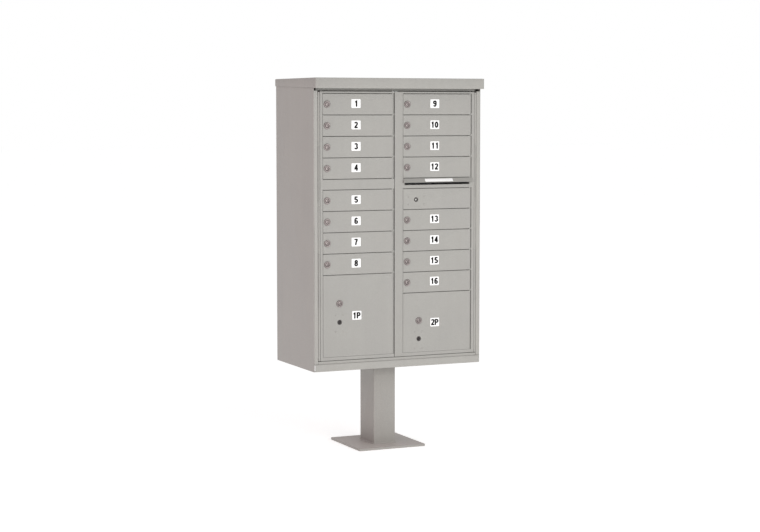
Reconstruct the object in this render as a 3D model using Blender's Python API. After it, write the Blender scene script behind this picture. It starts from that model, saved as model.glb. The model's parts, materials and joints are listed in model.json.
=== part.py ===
"""Pedestal cluster mailbox unit: sixteen tenant doors, two parcel lockers and an outgoing mail slot.

World frame: +Z up, the front faces -Y, origin on the floor under the middle of the unit. Sizes are metres.
Cabinet frame, used for every cabinet piece: x from the left side of the body, y back from the front
plane, z up from the underside of the cabinet.
"""

from math import atan2, cos, pi, radians, sin, tan

import bmesh
import bpy
from mathutils import Vector

# Overall sizes
BODY_WIDTH = 0.7747
BODY_DEPTH = 0.4238
CABINET_LIFT = 0.3606
HOOD_DEPTH = 0.4572
HOOD_FRONT_OVERHANG = 0.0294
HOOD_SIDE_OVERHANG = 0.0026
HOOD_TOP = 1.2205
HOOD_FRONT_SKIRT = 1.177
HOOD_REAR_SKIRT = 1.190
HOOD_SHEET = 0.002
HOOD_EDGE_RADIUS = 0.005

# Gaps
TOUCH = 0.0003
DOOR_GAP = 0.003
LATCH_SIDE_GAP = 0.0006
MASTER_GAP = 0.002

# Pedestal
BASE_WIDTH = 0.310
BASE_DEPTH = 0.316
BASE_THICKNESS = 0.0095
COLUMN_WIDTH = 0.1016
COLUMN_DEPTH = 0.146
COLUMN_FRONT = 0.142
COLUMN_WALL = 0.0048
COLUMN_RADIUS = 0.004
TOP_PLATE = 0.25
TOP_PLATE_THICKNESS = 0.0063

# Sheet metal of the body
SIDE_SHEET = 0.0032
BEND = 0.0022
JAMB_WIDTH = 0.0202
JAMB_RETURN = 0.025
REAR_FLANGE = 0.018
SIDE_TOP = 1.203
PANEL_SHEET = 0.0025
PANEL_BEND = 0.0025
SILL_FRONT = -0.004
SILL_INSET = 0.0048
SILL_STEP = 0.031
SILL_STEP_BACK = 0.004
FLOOR_TOP = 0.043
SILL_RETURN = 0.018
HEADER_BOTTOM = 1.167
HEADER_FRONT = 0.0172
TOP_SHEET_TOP = 1.1945

# Rows of doors, by the middle lines of the gaps between them
TOP_LINE = 1.156
ROW_PITCH = 0.0886
ROWS_IN_GROUP = 4
FIXED_RAIL = 0.0446
BOTTOM_LINE = 0.058

# Master doors: two frames that carry the tenant doors
MASTER_BOTTOM = 0.045
MASTER_TOP = 1.1645
MASTER_DEPTH = 0.016
RECESS_DEPTH = 0.0125
HINGE_STEP = 0.0056
MASTER_EDGE = 0.030
MEETING_LINE = 0.3687
LEDGE = 0.0075
LEDGE_LATCH_SIDE = 0.007
LEDGE_HINGE_SIDE = 0.0037

# Master hinges: long knuckles on one rod at each jamb
KNUCKLE_RADIUS = 0.0046
KNUCKLE_BORE = 0.00285
KNUCKLE_ROD = 0.0024
KNUCKLE_X = 0.0251
KNUCKLE_Y = 0.0036
KNUCKLE_COUNT = 5
KNUCKLE_GAP = 0.0006
KNUCKLE_BOTTOM = 0.046
KNUCKLE_TOP = 1.160
KNUCKLE_SIDES = 12

# Tenant and parcel doors, in the door's own frame: x from its left edge, y back from the front plane
DOOR_WIDTH = 0.320
DOOR_SHEET = 0.0025
DOOR_FLANGE = 0.011
DOOR_LEFT = {"left": 0.042, "right": 0.4083}
EYE_RADIUS = 0.0031
EYE_BORE = 0.0018
EYE_Y = 0.0026
DOOR_ROD = 0.0014
ARM_HALF = 0.0011
LUG_HEIGHT = 0.007
HINGE_SIDE_GAP = 0.0037

# Locks
LOCK_X = 0.0193
PARCEL_LOCK_X = 0.0743
PARCEL_LOCKS_Z = {1: (0.2825, 0.2042), 2: (0.1938, 0.1165)}
PLUG_RADIUS = 0.0075
PLUG_BORE = 0.0081
BARREL_RADIUS = 0.010
BARREL_BACK = 0.0165
DEEP_BARREL_BACK = 0.021
PLUG_PROUD = 0.0025
CAM_SHEET = 0.0025
CAM_GAP = 0.0004
CAM_HALF_WIDTH = 0.006
TENANT_CAM = 0.025
PARCEL_CAM = 0.080
CARRIER_CAM = 0.076
LOCK_SIDES = 12

# Outgoing mail: fixed panel with the carrier's lock, and a hooded slot over it
ARROW_LOCK_X = 0.0611
ARROW_LOCK_Z = 0.710
ARROW_RADIUS = 0.0078
ARROW_BORE = 0.0083
ARROW_BARREL = 0.013
ARROW_BARREL_BACK = 0.020
CRANK_ARM = 0.0127
CRANK_PIN = 0.003
CRANK_SHEET = 0.0024
SLOT_X = (0.416, 0.722)
SLOT_Z = (0.7722, 0.792)
SLOT_HOOD_X = (0.4085, 0.736)
SLOT_HOOD_Z = (0.7822, 0.7998)
SLOT_HOOD_REACH = 0.014
SLOT_HOOD_SHEET = 0.002

# Latch bar of the right master door and turn latch of the left one
BAR_TIP = 0.394
BAR_END = 0.492
BAR_Z = (0.706, 0.733)
BAR_Y = (0.0233, 0.0260)
BAR_CLEARANCE = 0.0008
GUIDE_X = (0.396, 0.412)
GUIDE_BACK = 0.0275
GUIDE_THICKNESS = 0.0036
TURN_LATCH_X = 0.345
TURN_LATCH_Z = 0.7793
TURN_LATCH_LENGTH = 0.027
TURN_LATCH_RADIUS = 0.006

# Centre post and compartment racks
POST_X = (0.362, 0.392)
POST_Y = (0.017, 0.029)
RACK_X = (0.022, 0.380)
RACK_Y = (0.030, 0.4135)
RACK_TOP = 1.163
RACK_WALL = 0.0012

FRONT_Y = -HOOD_DEPTH / 2 + HOOD_FRONT_OVERHANG
CORNER = Vector((-BODY_WIDTH / 2, FRONT_Y, CABINET_LIFT))
FLOOR_Z = CABINET_LIFT
GROUP_BOTTOM = TOP_LINE - ROWS_IN_GROUP * ROW_PITCH
LOWER_TOP = GROUP_BOTTOM - FIXED_RAIL
EYE_X = DOOR_WIDTH - EYE_RADIUS


def principled(name, colour, roughness, metallic):
    """A plain finish for one kind of piece."""
    material = bpy.data.materials.new(name)
    material.use_nodes = True
    shader = material.node_tree.nodes["Principled BSDF"]
    shader.inputs["Base Color"].default_value = (*colour, 1)
    shader.inputs["Roughness"].default_value = roughness
    shader.inputs["Metallic"].default_value = metallic
    material.diffuse_color = (*colour, 1)
    return material


def add_prism(mesh, outline, low, high, axis="Z"):
    """Sweeps a closed outline along an axis. The outline's two values are the other two axes in order."""
    spots = {
        "X": lambda a, b, t: (t, a, b),
        "Y": lambda a, b, t: (a, t, b),
        "Z": lambda a, b, t: (a, b, t),
    }[axis]
    near = [mesh.verts.new(spots(a, b, low)) for a, b in outline]
    far = [mesh.verts.new(spots(a, b, high)) for a, b in outline]
    mesh.faces.new(near)
    mesh.faces.new(far)
    for i, start in enumerate(near):
        j = (i + 1) % len(near)
        mesh.faces.new((start, near[j], far[j], far[i]))


def add_box(mesh, low, high):
    """A box between two corners."""
    outline = [(low[0], low[1]), (high[0], low[1]), (high[0], high[1]), (low[0], high[1])]
    add_prism(mesh, outline, low[2], high[2])


def circle(centre, radius, sides):
    """A regular polygon with a flat side to each axis."""
    turns = [2 * pi * (i + 0.5) / sides for i in range(sides)]
    return [(centre[0] + radius * cos(a), centre[1] + radius * sin(a)) for a in turns]


def arc(centre, radius, start, stop, steps):
    """Points along an arc, in degrees, both ends included."""
    angles = [radians(start + (stop - start) * i / steps) for i in range(steps + 1)]
    return [(centre[0] + radius * cos(a), centre[1] + radius * sin(a)) for a in angles]


def folded_sheet(path, thickness, bend, steps=3):
    """The outline of a folded sheet: its middle line, rounded at each fold, with half the sheet each side."""
    half = thickness / 2
    places = []
    for i, corner in enumerate(Vector(p) for p in path):
        before = (corner - Vector(path[i - 1])).normalized() if i else None
        after = (Vector(path[i + 1]) - corner).normalized() if i < len(path) - 1 else None
        if before is None or after is None:
            places.append((corner, after or before))
            continue
        start = atan2(before.y, before.x)
        turn = before.angle_signed(after) * -1
        side = 1 if turn > 0 else -1
        first = corner - before * bend * tan(abs(turn) / 2)
        middle = first + Vector((-before.y, before.x)) * side * bend
        for k in range(steps + 1):
            heading = start + turn * k / steps
            across = Vector((-sin(heading), cos(heading)))
            places.append((middle - across * side * bend, Vector((cos(heading), sin(heading)))))
    left = [(p.x - d.y * half, p.y + d.x * half) for p, d in places]
    right = [(p.x + d.y * half, p.y - d.x * half) for p, d in places]
    return left + right[::-1]


def mirrored(outline):
    """The same outline on the other side of the body."""
    return [(BODY_WIDTH - x, y) for x, y in outline]


def make(name, mesh, material=None, parent=None, at=(0, 0, 0)):
    """Turns a bmesh into an object. Round stretches are smooth and folds stay crisp."""
    bmesh.ops.recalc_face_normals(mesh, faces=mesh.faces)
    data = bpy.data.meshes.new(name)
    mesh.to_mesh(data)
    mesh.free()
    return place(name, data, material, parent, at)


def place(name, data, material, parent, at):
    """An object in the cabinet frame, or in the world frame when it has no parent."""
    obj = bpy.data.objects.new(name, data)
    bpy.context.collection.objects.link(obj)
    if material:
        data.materials.clear()
        data.materials.append(material)
        data.shade_smooth()
        data.set_sharp_from_angle(angle=radians(35))
    obj.location = at
    if parent:
        obj.parent = parent
        obj.location = Vector(at) - Vector(parent["cabinet_place"])
    obj["cabinet_place"] = tuple(at)
    return obj


def pivot(name, at, parent=None):
    """An empty on a joint's axis."""
    obj = bpy.data.objects.new(name, None)
    bpy.context.collection.objects.link(obj)
    obj.empty_display_size = 0.03
    obj["cabinet_place"] = tuple(at)
    obj.parent = parent
    obj.location = Vector(at) - Vector(parent["cabinet_place"]) if parent else Vector(at)
    return obj


def shaped(name, mesh, steps):
    """The mesh after each Boolean step in turn. A step is an operation and the tool's bmesh."""
    body = make(name + "_blank", mesh)
    tools = []
    for number, (operation, tool_mesh) in enumerate(steps):
        tool = make(f"{name}_tool_{number}", tool_mesh)
        tool.display_type = "WIRE"
        tool.hide_render = True
        modifier = body.modifiers.new(operation.lower(), "BOOLEAN")
        modifier.operation = operation
        modifier.solver = "EXACT"
        modifier.object = tool
        tools.append(tool)
    seen = body.evaluated_get(bpy.context.evaluated_depsgraph_get())
    data = bpy.data.meshes.new_from_object(seen)
    data.name = name
    for extra in [body, *tools]:
        bpy.data.objects.remove(extra)
    return data


def rounded_box(mesh, low, high, radius, steps=3):
    """A box with its four upright edges rounded."""
    corners = [
        ((high[0] - radius, high[1] - radius), 0),
        ((low[0] + radius, high[1] - radius), 90),
        ((low[0] + radius, low[1] + radius), 180),
        ((high[0] - radius, low[1] + radius), 270),
    ]
    outline = []
    for centre, start in corners:
        outline += arc(centre, radius, start, start + 90, steps)
    add_prism(mesh, outline, low[2], high[2])


def pedestal(paint):
    """A plate on the ground and a rectangular column, whose welded top plate bolts under the cabinet floor."""
    middle_y = FRONT_Y + COLUMN_FRONT + COLUMN_DEPTH / 2
    base = bmesh.new()
    rounded_box(
        base,
        (-BASE_WIDTH / 2, middle_y - BASE_DEPTH / 2, 0),
        (BASE_WIDTH / 2, middle_y + BASE_DEPTH / 2, BASE_THICKNESS),
        COLUMN_RADIUS,
    )
    make("base_plate", base, paint)

    top = FLOOR_Z + FLOOR_TOP - PANEL_SHEET - TOUCH
    bottom = BASE_THICKNESS + TOUCH
    half_width, half_depth = COLUMN_WIDTH / 2, COLUMN_DEPTH / 2
    column = bmesh.new()
    rounded_box(
        column,
        (-half_width, middle_y - half_depth, bottom),
        (half_width, middle_y + half_depth, top - TOP_PLATE_THICKNESS / 2),
        COLUMN_RADIUS,
    )
    plate = bmesh.new()
    add_box(
        plate,
        (-TOP_PLATE / 2, middle_y - TOP_PLATE / 2, top - TOP_PLATE_THICKNESS),
        (TOP_PLATE / 2, middle_y + TOP_PLATE / 2, top),
    )
    hollow = bmesh.new()
    add_box(
        hollow,
        (-half_width + COLUMN_WALL, middle_y - half_depth + COLUMN_WALL, 0),
        (half_width - COLUMN_WALL, middle_y + half_depth - COLUMN_WALL, top + BASE_THICKNESS),
    )
    data = shaped("pedestal_column", column, [("UNION", plate), ("DIFFERENCE", hollow)])
    place("pedestal_column", data, paint, None, (0, 0, 0))


def bottom_pan(paint, cabinet):
    """The folded floor: a return at the bottom edge, the sill, its step and lip, the floor and a rear flange."""
    half = PANEL_SHEET / 2
    front, step_back = SILL_FRONT + half, SILL_STEP_BACK - half
    rear = RACK_Y[1] + TOUCH * 10 / 3 + half
    path = [
        (front + SILL_RETURN, half),
        (front, half),
        (front, SILL_STEP - half),
        (step_back, SILL_STEP - half),
        (step_back, FLOOR_TOP - half),
        (rear, FLOOR_TOP - half),
        (rear, half),
        (rear - SILL_RETURN, half),
    ]
    pan = bmesh.new()
    outline = folded_sheet(path, PANEL_SHEET, half * 1.2, steps=2)
    add_prism(pan, outline, SILL_INSET, BODY_WIDTH - SILL_INSET, "X")
    notches = bmesh.new()
    notch = (SILL_FRONT / 2, SILL_STEP + 2 * TOUCH)
    inner = JAMB_WIDTH + 2 * TOUCH
    for low, high in ((0, inner), (BODY_WIDTH - inner, BODY_WIDTH)):
        add_box(notches, (low, *notch), (high, JAMB_RETURN + 2 * TOUCH, HOOD_TOP))
    data = shaped("bottom_pan", pan, [("DIFFERENCE", notches)])
    place("bottom_pan", data, paint, cabinet, (0, 0, 0))


def knuckle_spans():
    """The lowest and highest z of each long knuckle, from the bottom up."""
    length = (KNUCKLE_TOP - KNUCKLE_BOTTOM - KNUCKLE_GAP * (KNUCKLE_COUNT - 1)) / KNUCKLE_COUNT
    starts = [KNUCKLE_BOTTOM + i * (length + KNUCKLE_GAP) for i in range(KNUCKLE_COUNT)]
    return [(start, start + length) for start in starts]


def knuckle_tools(centre_x, web_x, first):
    """Every second knuckle as solids to weld on, each a drum with a web to web_x, and the bore to cut."""
    knuckles = bmesh.new()
    web_low, web_high = KNUCKLE_Y - 0.0006, KNUCKLE_Y + 0.0024
    away = web_x > centre_x
    reach = KNUCKLE_RADIUS * cos(radians(35)) * (1 if away else -1)
    drum = arc((centre_x, KNUCKLE_Y), KNUCKLE_RADIUS, 35, 325, 10)
    if not away:
        drum = [(2 * centre_x - x, y) for x, y in drum]
    outline = [(centre_x + reach, web_high), (web_x, web_high), (web_x, web_low), (centre_x + reach, web_low)]
    outline = outline[::-1] + drum
    for low, high in knuckle_spans()[first::2]:
        add_prism(knuckles, outline, low, high)
    bore = bmesh.new()
    ring = circle((centre_x, KNUCKLE_Y), KNUCKLE_BORE, KNUCKLE_SIDES)
    add_prism(bore, ring, MASTER_BOTTOM / 2, HOOD_TOP)
    return knuckles, bore


def side_panels(paint, cabinet):
    """Each side is one folded sheet: front jamb with its return, outer wall and rear flange."""
    half = SIDE_SHEET / 2
    path = [
        (JAMB_WIDTH - half, JAMB_RETURN),
        (JAMB_WIDTH - half, half),
        (half, half),
        (half, BODY_DEPTH - half),
        (REAR_FLANGE, BODY_DEPTH - half),
    ]
    outline = folded_sheet(path, SIDE_SHEET, BEND)
    for side in ("left", "right"):
        left = side == "left"
        panel = bmesh.new()
        add_prism(panel, outline if left else mirrored(outline), 0, SIDE_TOP)
        notch = bmesh.new()
        edges = (SIDE_SHEET + TOUCH, JAMB_WIDTH * 2)
        low, high = edges if left else (BODY_WIDTH - edges[1], BODY_WIDTH - edges[0])
        add_box(notch, (low, SILL_FRONT, -FLOOR_TOP), (high, JAMB_RETURN * 2, SILL_STEP + 2 * TOUCH))
        under = bmesh.new()
        add_box(under, (low, SILL_STEP_BACK, 0), (high, JAMB_RETURN * 2, FLOOR_TOP + 2 * TOUCH))
        centre = KNUCKLE_X if left else BODY_WIDTH - KNUCKLE_X
        web = JAMB_WIDTH - half if left else BODY_WIDTH - JAMB_WIDTH + half
        knuckles, bore = knuckle_tools(centre, web, 0)
        above = bmesh.new()
        add_box(above, (low, -JAMB_WIDTH, HEADER_BOTTOM), (high, HEADER_FRONT - TOUCH, HOOD_TOP))
        cuts = [("DIFFERENCE", notch), ("DIFFERENCE", under), ("DIFFERENCE", above)]
        data = shaped(f"side_panel_{side}", panel, cuts + [("UNION", knuckles), ("DIFFERENCE", bore)])
        place(f"side_panel_{side}", data, paint, cabinet, (0, 0, 0))


def rods(steel, cabinet, masters):
    """A headed rod for each master hinge, and one through the eyes of each column of doors."""
    spots = [
        ("master_hinge_rod_left", KNUCKLE_X, KNUCKLE_Y, KNUCKLE_ROD, KNUCKLE_BOTTOM, KNUCKLE_TOP, cabinet),
        (
            "master_hinge_rod_right",
            BODY_WIDTH - KNUCKLE_X,
            KNUCKLE_Y,
            KNUCKLE_ROD,
            KNUCKLE_BOTTOM,
            KNUCKLE_TOP,
            cabinet,
        ),
    ]
    for side in ("left", "right"):
        spots.append(
            (
                f"door_hinge_rod_{side}",
                DOOR_LEFT[side] + EYE_X,
                EYE_Y,
                DOOR_ROD,
                MASTER_BOTTOM,
                MASTER_TOP,
                masters[side],
            )
        )
    for name, x, y, radius, low, high, parent in spots:
        profile = [
            (0, low + TOUCH),
            (radius, low + TOUCH),
            (radius, high + TOUCH),
            (radius * 1.7, high + TOUCH),
            (radius * 1.7, high + TOUCH + radius / 2),
            (radius * 1.2, high + TOUCH + radius * 0.8),
            (0, high + TOUCH + radius * 0.8),
        ]
        rod = bmesh.new()
        turned(rod, profile, KNUCKLE_SIDES)
        make(name, rod, steel, parent, (x, y, 0))


def turned(mesh, profile, sides):
    """A turned piece about +Z from a profile of radius and height that starts and ends on the axis."""
    rings = []
    for radius, height in profile:
        if radius == 0:
            rings.append([mesh.verts.new((0, 0, height))])
        else:
            rings.append([mesh.verts.new((*p, height)) for p in circle((0, 0), radius, sides)])
    for lower, upper in zip(rings, rings[1:]):
        for i in range(sides):
            j = (i + 1) % sides
            if len(lower) == 1:
                mesh.faces.new((lower[0], upper[j], upper[i]))
            elif len(upper) == 1:
                mesh.faces.new((lower[i], lower[j], upper[0]))
            else:
                mesh.faces.new((lower[i], lower[j], upper[j], upper[i]))


def back_and_top(paint, cabinet):
    """The flat back inside the rear flanges, and the top with the header over the master doors."""
    back = bmesh.new()
    inner = SIDE_SHEET + 0.0004
    rear_face = BODY_DEPTH - SIDE_SHEET - 2 * TOUCH
    add_box(
        back,
        (inner + BEND / 2, rear_face - PANEL_SHEET, PANEL_SHEET),
        (BODY_WIDTH - inner - BEND / 2, rear_face, SIDE_TOP - PANEL_SHEET),
    )
    make("back_panel", back, paint, cabinet)

    half = PANEL_SHEET / 2
    rear = RACK_Y[1] + TOUCH * 10 / 3 + half
    path = [
        (HEADER_FRONT + half, HEADER_BOTTOM),
        (HEADER_FRONT + half, TOP_SHEET_TOP - half),
        (rear, TOP_SHEET_TOP - half),
        (rear, RACK_TOP + half * 4),
    ]
    top = bmesh.new()
    outline = folded_sheet(path, PANEL_SHEET, PANEL_BEND)
    add_prism(top, outline, inner, BODY_WIDTH - inner, "X")
    notches = bmesh.new()
    edge = JAMB_WIDTH + 2 * TOUCH
    for low, high in ((0, edge), (BODY_WIDTH - edge, BODY_WIDTH)):
        add_box(notches, (low, -JAMB_WIDTH, MASTER_TOP), (high, JAMB_RETURN + 2 * TOUCH, HOOD_TOP))
    data = shaped("top_panel", top, [("DIFFERENCE", notches)])
    place("top_panel", data, paint, cabinet, (0, 0, 0))


def hood(paint, cabinet):
    """The weather cap: a rounded lid whose side skirts taper to the rear, with a return under its front."""
    left, right = -HOOD_SIDE_OVERHANG, BODY_WIDTH + HOOD_SIDE_OVERHANG
    front, rear = -HOOD_FRONT_OVERHANG, HOOD_DEPTH - HOOD_FRONT_OVERHANG
    cap = bmesh.new()
    low_corner = (left, front, HOOD_FRONT_SKIRT)
    rounded_box(cap, low_corner, (right, rear, HOOD_TOP), HOOD_EDGE_RADIUS)
    rim = [e for e in cap.edges if all(v.co.z > HOOD_TOP - TOUCH for v in e.verts)]
    bmesh.ops.recalc_face_normals(cap, faces=cap.faces)
    bmesh.ops.bevel(cap, geom=rim, offset=HOOD_EDGE_RADIUS / 2, segments=2, profile=0.5, affect="EDGES")
    start = front + HOOD_FRONT_OVERHANG / 2
    slope = (HOOD_REAR_SKIRT - HOOD_FRONT_SKIRT) / (rear - start)
    beyond = HOOD_FRONT_OVERHANG
    wedge = bmesh.new()
    taper = [
        (start, HOOD_FRONT_SKIRT),
        (rear + beyond, HOOD_FRONT_SKIRT + slope * (rear + beyond - start)),
        (rear + beyond, HOOD_FRONT_SKIRT - beyond),
        (start - beyond, HOOD_FRONT_SKIRT - beyond),
    ]
    add_prism(wedge, taper, left - beyond, right + beyond, "X")
    inside = bmesh.new()
    roof = HOOD_TOP - HOOD_SHEET
    floor = HOOD_FRONT_SKIRT + HOOD_SHEET
    hollow = [
        (front + HOOD_SHEET, floor),
        (start, floor),
        (start, floor - beyond),
        (rear - HOOD_SHEET, floor - beyond),
        (rear - HOOD_SHEET, roof),
        (front + HOOD_SHEET, roof),
    ]
    add_prism(inside, hollow, left + HOOD_SHEET, right - HOOD_SHEET, "X")
    data = shaped("hood", cap, [("DIFFERENCE", wedge), ("DIFFERENCE", inside)])
    place("hood", data, paint, cabinet, (0, 0, 0))


def cells():
    """Every compartment, top down: column, kind, number and the gap lines below and above it."""
    rows = []
    number = 0
    for column in ("left", "right"):
        line = TOP_LINE
        for _ in range(ROWS_IN_GROUP):
            number += 1
            rows.append((column, "tenant", number, line - ROW_PITCH, line))
            line -= ROW_PITCH
        rows.append((column, "rail", 0, LOWER_TOP, GROUP_BOTTOM))
        line = LOWER_TOP
        if column == "right":
            rows.append((column, "outgoing", 0, line - ROW_PITCH, line))
            line -= ROW_PITCH
        for _ in range(ROWS_IN_GROUP):
            number += 1
            rows.append((column, "tenant", number, line - ROW_PITCH, line))
            line -= ROW_PITCH
        rows.append((column, "parcel", 1 if column == "left" else 2, BOTTOM_LINE, line))
    return rows


def racks(zinc, cabinet):
    """One folded rack behind each column: a pocket for every compartment, open to the front."""
    for side in ("left", "right"):
        low_x, high_x = RACK_X if side == "left" else (BODY_WIDTH - RACK_X[1], BODY_WIDTH - RACK_X[0])
        rack = bmesh.new()
        bottom = FLOOR_TOP + TOUCH
        add_box(rack, (low_x, RACK_Y[0], bottom), (high_x, RACK_Y[1], RACK_TOP))
        pockets = bmesh.new()
        lines = [(low, high) for column, kind, _, low, high in cells() if column == side]
        if side == "right":
            lines = merge_outgoing(lines)
        for low, high in lines:
            floor = low + RACK_WALL / 2 if low > BOTTOM_LINE else bottom + RACK_WALL
            add_box(
                pockets,
                (low_x + RACK_WALL, RACK_Y[0] - RACK_WALL, floor),
                (high_x - RACK_WALL, RACK_Y[1] - RACK_WALL, high - RACK_WALL / 2),
            )
        data = shaped(f"rack_{side}", rack, [("DIFFERENCE", pockets)])
        place(f"rack_{side}", data, zinc, cabinet, (0, 0, 0))


def merge_outgoing(lines):
    """The slot's row and the panel's row share one tall outgoing compartment."""
    slot = next(pair for pair in lines if pair[1] == GROUP_BOTTOM)
    panel = next(pair for pair in lines if pair[1] == LOWER_TOP)
    return [pair for pair in lines if pair not in (slot, panel)] + [(panel[0], slot[1])]


def centre_post(zinc, cabinet):
    """A channel behind the line where the master doors meet, with a strike slot in each leg."""
    half = PANEL_SHEET / 2
    path = [
        (POST_X[0] + half, POST_Y[1]),
        (POST_X[0] + half, POST_Y[0] + half),
        (POST_X[1] - half, POST_Y[0] + half),
        (POST_X[1] - half, POST_Y[1]),
    ]
    post = bmesh.new()
    outline = folded_sheet(path, PANEL_SHEET, PANEL_BEND)
    add_prism(post, outline, FLOOR_TOP + TOUCH, HEADER_BOTTOM - TOUCH)
    slots = bmesh.new()
    middle = sum(POST_X) / 2
    slot_y = (BAR_Y[0] - 0.0023, BAR_Y[1] + 0.001)
    reach = TURN_LATCH_LENGTH
    add_box(
        slots,
        (POST_X[0] - half, slot_y[0], TURN_LATCH_Z - reach - 0.002),
        (middle, slot_y[1], TURN_LATCH_Z + TURN_LATCH_RADIUS + 0.003),
    )
    add_box(
        slots,
        (middle, slot_y[0], BAR_Z[0] - 0.002),
        (POST_X[1] + half, slot_y[1], BAR_Z[1] + 0.002),
    )
    data = shaped("centre_post", post, [("DIFFERENCE", slots)])
    place("centre_post", data, zinc, cabinet, (0, 0, 0))


def master_frame(side, paint, axis):
    """A master door: a thick border, recesses for the doors, a ledge behind each and hinge arms between."""
    left = side == "left"
    half_gap = MASTER_GAP / 2
    low_x = MASTER_EDGE if left else MEETING_LINE + half_gap
    high_x = MEETING_LINE - half_gap if left else BODY_WIDTH - MASTER_EDGE
    door_left = DOOR_LEFT[side]
    eye = door_left + EYE_X
    recess_low = door_left - LATCH_SIDE_GAP
    recess_high = high_x + half_gap if left else door_left + DOOR_WIDTH + HINGE_SIDE_GAP
    blank = bmesh.new()
    add_box(blank, (low_x, 0, MASTER_BOTTOM), (high_x, MASTER_DEPTH, MASTER_TOP))

    recesses = bmesh.new()
    gap = DOOR_GAP / 2
    hinge_step = eye + EYE_RADIUS + TOUCH * 4 / 3
    for low, high in ((GROUP_BOTTOM - gap, TOP_LINE + gap), (BOTTOM_LINE + gap - LATCH_SIDE_GAP, LOWER_TOP + gap)):
        outline = [
            (recess_low, -MASTER_DEPTH),
            (recess_high, -MASTER_DEPTH),
            (recess_high, HINGE_STEP),
            (hinge_step, HINGE_STEP),
            (hinge_step, RECESS_DEPTH),
            (recess_low, RECESS_DEPTH),
        ]
        add_prism(recesses, outline, low, high)

    openings = bmesh.new()
    doors = [row for row in cells() if row[0] == side and row[1] != "rail"]
    for _, _, _, low, high in doors:
        add_box(
            openings,
            (recess_low + LEDGE_LATCH_SIDE, -MASTER_DEPTH, low + LEDGE),
            (eye - EYE_RADIUS - LEDGE_HINGE_SIDE, MASTER_DEPTH * 2, high - LEDGE),
        )
    if not left:
        add_box(openings, (SLOT_X[0], -MASTER_DEPTH, SLOT_Z[0]), (SLOT_X[1], MASTER_DEPTH * 2, SLOT_Z[1]))

    arms = bmesh.new()
    arm_high_x = (high_x - TOUCH) if left else recess_high + half_gap
    lug_low_x = door_left + DOOR_WIDTH + 2 * TOUCH
    inside = {low for _, _, _, low, _ in doors} & {high for _, _, _, _, high in doors}
    for line in sorted(inside):
        outline = [
            (lug_low_x, line + LUG_HEIGHT),
            (lug_low_x, line + ARM_HALF),
            (eye - EYE_RADIUS, line + ARM_HALF),
            (eye - EYE_RADIUS, line - ARM_HALF),
            (arm_high_x, line - ARM_HALF),
            (arm_high_x, line + LUG_HEIGHT),
        ]
        add_prism(arms, outline, 0, (RECESS_DEPTH + MASTER_DEPTH) / 2, "Y")

    centre = KNUCKLE_X if left else BODY_WIDTH - KNUCKLE_X
    web = low_x + PANEL_SHEET / 2 if left else high_x - PANEL_SHEET / 2
    knuckles, bore = knuckle_tools(centre, web, 1)
    rod_bore = bmesh.new()
    add_prism(rod_bore, circle((eye, EYE_Y), EYE_BORE, KNUCKLE_SIDES), MASTER_BOTTOM / 2, HOOD_TOP)
    steps = [
        ("DIFFERENCE", recesses),
        ("DIFFERENCE", openings),
        ("UNION", arms),
        ("UNION", knuckles),
        ("DIFFERENCE", bore),
        ("DIFFERENCE", rod_bore),
    ]
    if not left:
        guides = bmesh.new()
        for low, high in (
            (BAR_Z[0] - 2 * TOUCH - GUIDE_THICKNESS, BAR_Z[0] - 2 * TOUCH),
            (BAR_Z[1] + 2 * TOUCH, BAR_Z[1] + 2 * TOUCH + GUIDE_THICKNESS),
        ):
            add_box(
                guides,
                (GUIDE_X[0], (RECESS_DEPTH + MASTER_DEPTH) / 2, low),
                (GUIDE_X[1], GUIDE_BACK, high),
            )
        steps.append(("UNION", guides))
    data = shaped(f"master_frame_{side}", blank, steps)
    shift_mesh(data, axis["cabinet_place"])
    place(f"master_frame_{side}", data, paint, axis, axis["cabinet_place"])


def shift_mesh(data, origin):
    """Moves a mesh drawn in the cabinet frame so that its origin is at the given place."""
    offset = Vector(origin)
    for vertex in data.vertices:
        vertex.co -= offset


def door_outline():
    """Plan of a door: latch-side flange, flat face and the rolled hinge eye with its slit."""
    eye = (EYE_X, EYE_Y)
    flange = DOOR_SHEET
    outer = arc(eye, EYE_RADIUS, 237, 510, 9)
    inner = arc(eye, EYE_BORE, 510, 195, 8)
    return [
        (0.0005, 0),
        (outer[0][0], 0),
        *outer,
        *inner,
        (EYE_X - EYE_RADIUS, DOOR_SHEET),
        (flange, DOOR_SHEET),
        (flange, DOOR_FLANGE),
        (0, DOOR_FLANGE),
        (0, 0.0005),
    ]


def door_mesh(name, low, high, locks):
    """A door's mesh about its hinge axis, from gap line to gap line. Each lock is x, z, radii and back."""
    door = bmesh.new()
    gap = DOOR_GAP / 2
    add_prism(door, door_outline(), low + gap, high - gap)
    barrels, bores = bmesh.new(), bmesh.new()
    for x, z, bore, barrel, back in locks:
        add_prism(barrels, circle((x, z), barrel, LOCK_SIDES), DOOR_SHEET / 2, back, "Y")
        add_prism(bores, circle((x, z), bore, LOCK_SIDES), -back, 2 * back, "Y")
    data = shaped(name, door, [("UNION", barrels), ("DIFFERENCE", bores)])
    shift_mesh(data, (EYE_X, EYE_Y, 0))
    return data


def plug_mesh(name, front, cam_length, back, cam_turn):
    """A lock's plug and cam about its own axis. The cam points down, or up at a turn of 180 degrees."""
    plug = bmesh.new()
    end = back + CAM_GAP
    add_prism(plug, circle((0, 0), PLUG_RADIUS, LOCK_SIDES), front, end + CAM_SHEET / 2, "Y")
    cam = bmesh.new()
    tip = cam_length - CAM_HALF_WIDTH
    side = -1 if cam_turn == 0 else 1
    ends = arc((0, 0), CAM_HALF_WIDTH, 0, 180, 4)
    outline = [(x, side * (tip + y)) for x, y in ends] + [(x, -side * y) for x, y in ends[::-1]]
    add_prism(cam, outline, end, end + CAM_SHEET, "Y")
    return shaped(name, plug, [("UNION", cam)])


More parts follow.
